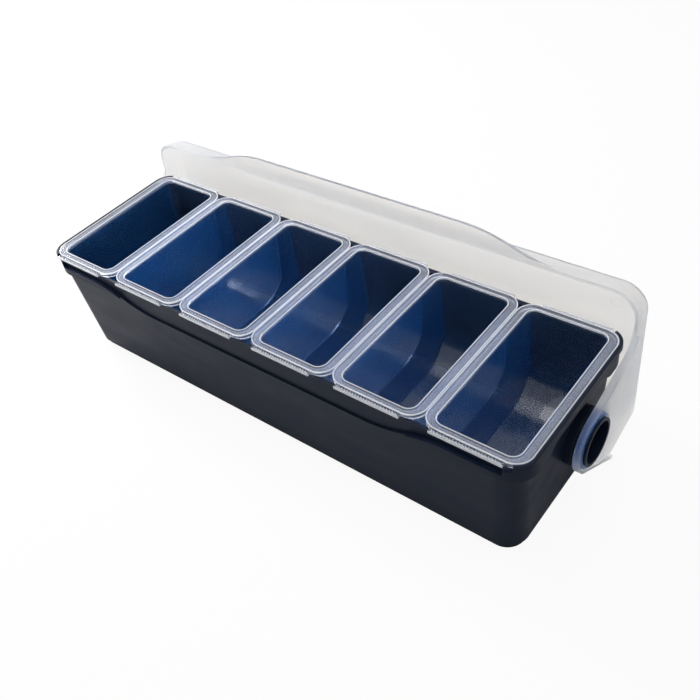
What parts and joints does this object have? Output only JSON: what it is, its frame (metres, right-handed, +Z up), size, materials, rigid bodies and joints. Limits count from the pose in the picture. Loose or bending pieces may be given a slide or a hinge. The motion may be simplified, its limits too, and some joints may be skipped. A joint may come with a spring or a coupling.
{
  "type": "condiment holder",
  "caption": "Long countertop condiment holder: a dark trough with a row of clear scooped lift-out inserts under a translucent lid that swings on end hubs.",
  "frame": {"origin": "on the counter, under the middle of the row of inserts", "axes": "+X along the row to the right as seen from the front, +Y to the back where the open lid stands, +Z up"},
  "size_m": [0.501, 0.172, 0.1553],
  "materials": {
    "trough": "satin black moulded plastic",
    "lid": "frosted translucent white",
    "insert": "clear, polished"
  },
  "bodies": {
    "trough": {"base_trough": "trough"},
    "lid": {"lid": "lid"},
    "insert_1": {"insert_1": "insert"},
    "insert_2": {"insert_2": "insert"},
    "insert_3": {"insert_3": "insert"},
    "insert_4": {"insert_4": "insert"},
    "insert_5": {"insert_5": "insert"},
    "insert_6": {"insert_6": "insert"}
  },
  "joints": [
    {"name": "lid_hinge", "type": "hinge", "parent": "trough", "child": "lid", "pos_m": [0, 0.014, 0.0545], "axis": [-1, 0, 0], "range_deg": [-96.8, 0]},
    {"name": "insert_1_lift", "type": "slide", "parent": "trough", "child": "insert_1", "axis": [0, 0, 1], "range_m": [0, 0.1]},
    {"name": "insert_2_lift", "type": "slide", "parent": "trough", "child": "insert_2", "axis": [0, 0, 1], "range_m": [0, 0.1]},
    {"name": "insert_3_lift", "type": "slide", "parent": "trough", "child": "insert_3", "axis": [0, 0, 1], "range_m": [0, 0.1]},
    {"name": "insert_4_lift", "type": "slide", "parent": "trough", "child": "insert_4", "axis": [0, 0, 1], "range_m": [0, 0.1]},
    {"name": "insert_5_lift", "type": "slide", "parent": "trough", "child": "insert_5", "axis": [0, 0, 1], "range_m": [0, 0.1]},
    {"name": "insert_6_lift", "type": "slide", "parent": "trough", "child": "insert_6", "axis": [0, 0, 1], "range_m": [0, 0.1]}
  ]
}
